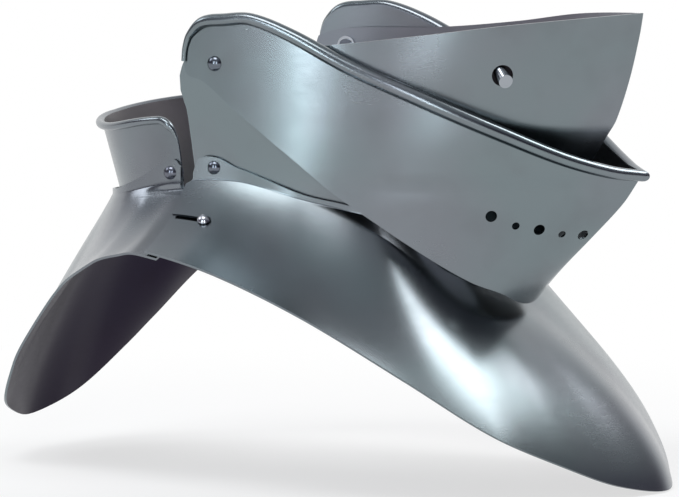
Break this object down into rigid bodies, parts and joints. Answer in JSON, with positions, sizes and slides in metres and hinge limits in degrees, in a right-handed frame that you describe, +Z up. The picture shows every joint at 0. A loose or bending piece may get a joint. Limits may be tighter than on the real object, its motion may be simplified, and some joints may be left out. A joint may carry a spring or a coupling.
{
  "type": "bevor",
  "caption": "Steel neck and face defence: keeled falling face plate with breath holes, chin plate with spring catch, hinged gorget halves and rolled rear collar.",
  "frame": {"origin": "on the centre plane, under the face pivots, at the height of the neck opening", "axes": "+X to the wearer's left, +Y to the rear, +Z up"},
  "size_m": [0.2712, 0.3803, 0.2521],
  "materials": {
    "plate": "satin polished",
    "fittings": "polished"
  },
  "bodies": {
    "rear_gorget": {"rear_gorget_plate": "plate", "right_collar_rivet": "fittings", "left_collar_rivet": "fittings", "right_collar_washer": "fittings", "left_collar_washer": "fittings", "shoulder_hinge_rivet": "fittings", "shoulder_hinge_washer": "fittings", "shoulder_stud": "fittings"},
    "front_gorget": {"front_gorget_plate": "plate", "right_chin_rivet": "fittings", "left_chin_rivet": "fittings", "right_chin_washer": "fittings", "left_chin_washer": "fittings"},
    "collar": {"rear_collar": "plate"},
    "chin": {"chin_plate": "plate", "catch_leaf_spring": "fittings", "catch_spring_rivets": "fittings"},
    "face": {"face_plate": "plate", "right_face_pivot_rivet": "fittings", "left_face_pivot_rivet": "fittings", "right_face_pivot_washer": "fittings", "left_face_pivot_washer": "fittings"},
    "catch": {"catch_pin": "fittings"}
  },
  "joints": [
    {"name": "gorget_opening", "type": "hinge", "parent": "rear_gorget", "child": "front_gorget", "pos_m": [0.10261, -0.00164, -0.01644], "axis": [0.5826, -0.1045, 0.806], "range_deg": [0, 10]},
    {"name": "collar_tilt", "type": "hinge", "parent": "rear_gorget", "child": "collar", "pos_m": [0, 0.02834, 0.006], "axis": [1, 0, 0], "range_deg": [0, 6]},
    {"name": "chin_tilt", "type": "hinge", "parent": "front_gorget", "child": "chin", "pos_m": [0, 0.00282, 0.0096], "axis": [-1, 0, 0], "range_deg": [0, 4]},
    {"name": "face_raise", "type": "hinge", "parent": "chin", "child": "face", "pos_m": [0, 0, 0.065], "axis": [-1, 0, 0], "range_deg": [0, 24]},
    {"name": "catch_press", "type": "slide", "parent": "chin", "child": "catch", "axis": [0.4381, 0.6238, 0.6473], "range_m": [0, 0.0037], "stiffness_N_per_m": 600, "springref_m": -0.002, "deforming": ["catch_leaf_spring"]}
  ]
}
